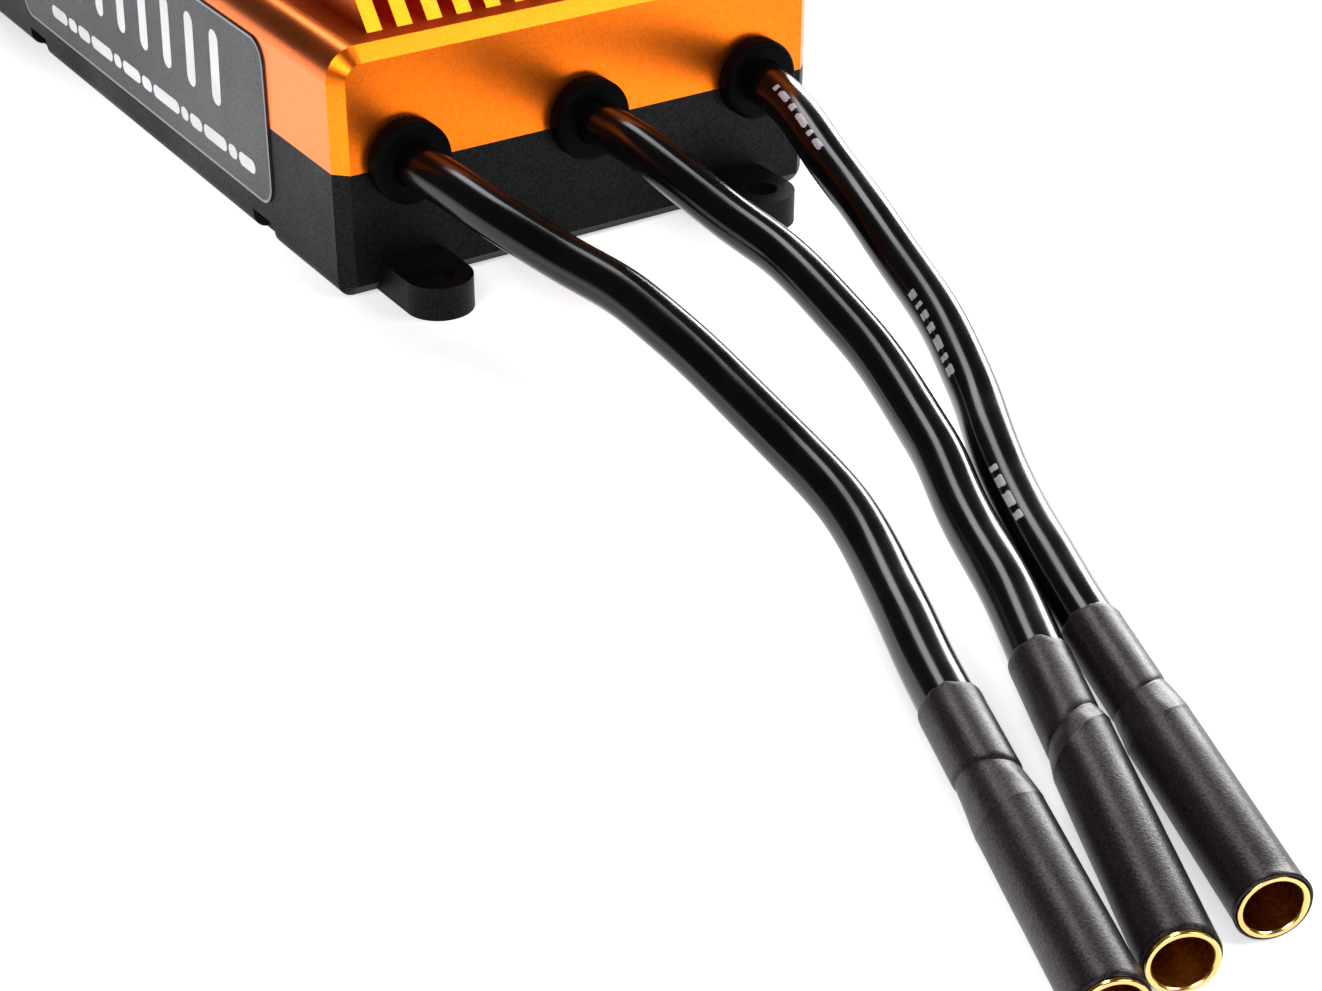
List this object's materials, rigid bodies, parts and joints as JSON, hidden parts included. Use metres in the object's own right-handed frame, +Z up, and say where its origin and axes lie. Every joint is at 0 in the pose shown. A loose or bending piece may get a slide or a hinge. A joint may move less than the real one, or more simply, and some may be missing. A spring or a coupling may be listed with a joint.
{
  "type": "electronic speed controller",
  "caption": "Brushless motor speed controller in a finned aluminium and plastic case, with mounting ears and flexible motor leads ending in bullet sockets.",
  "frame": {"origin": "on the ground under the middle of the case", "axes": "+Z up, +Y along the case towards the battery end, +X to the right seen from the motor end; the motor leads leave towards -Y"},
  "size_m": [0.0643, 0.2267, 0.034],
  "materials": {
    "orange_anodised": "bead blasted and anodised orange",
    "black_case": "fine moulded texture",
    "label_film": "satin grey film",
    "steel": "bright zinc plated",
    "grommet_rubber": "matte moulded rubber",
    "lead_silicone": "glossy silicone",
    "shrink_film": "satin heat shrink",
    "gold_plate": "polished gold plate",
    "board_green": "solder mask",
    "chip_black": "moulded epoxy",
    "pad_silicone": "soft thermal pad",
    "plain_aluminium": "milled",
    "copper": "bare copper",
    "ceramic_body": "fired ceramic",
    "can_sleeve": "printed sleeve, left plain",
    "ferrite": "pressed ferrite",
    "connector_ivory": "nylon",
    "lamp_clear": "clear epoxy"
  },
  "bodies": {
    "root": {"heatsink_cover": "orange_anodised", "lower_case": "black_case", "side_label": "label_film", "case_screws": "steel", "motor_grommet_left": "grommet_rubber", "motor_grommet_middle": "grommet_rubber", "motor_grommet_right": "grommet_rubber", "motor_lead_left": "lead_silicone", "motor_lead_middle": "lead_silicone", "motor_lead_right": "lead_silicone", "shrink_sleeve_left": "shrink_film", "shrink_sleeve_middle": "shrink_film", "shrink_sleeve_right": "shrink_film", "bullet_socket_left": "gold_plate", "bullet_socket_middle": "gold_plate", "bullet_socket_right": "gold_plate", "battery_grommet_negative": "grommet_rubber", "battery_grommet_positive": "grommet_rubber", "signal_grommet": "grommet_rubber", "power_board": "board_green", "power_mosfets": "chip_black", "thermal_pad": "pad_silicone", "heat_spreader": "plain_aluminium", "spreader_screws": "steel", "phase_tabs": "copper", "lead_strands": "copper", "current_shunts": "chip_black", "ceramic_capacitors": "ceramic_body", "busbar_negative": "copper", "busbar_positive": "copper", "capacitor_board": "board_green", "bulk_capacitors": "can_sleeve", "capacitor_pins": "steel", "control_board": "board_green", "microcontroller": "chip_black", "gate_drivers": "chip_black", "supply_inductor": "ferrite", "supply_converter": "chip_black", "signal_connector": "connector_ivory", "status_lamp": "lamp_clear", "board_headers": "chip_black", "board_standoffs": "gold_plate", "board_screws": "steel"}
  },
  "joints": []
}
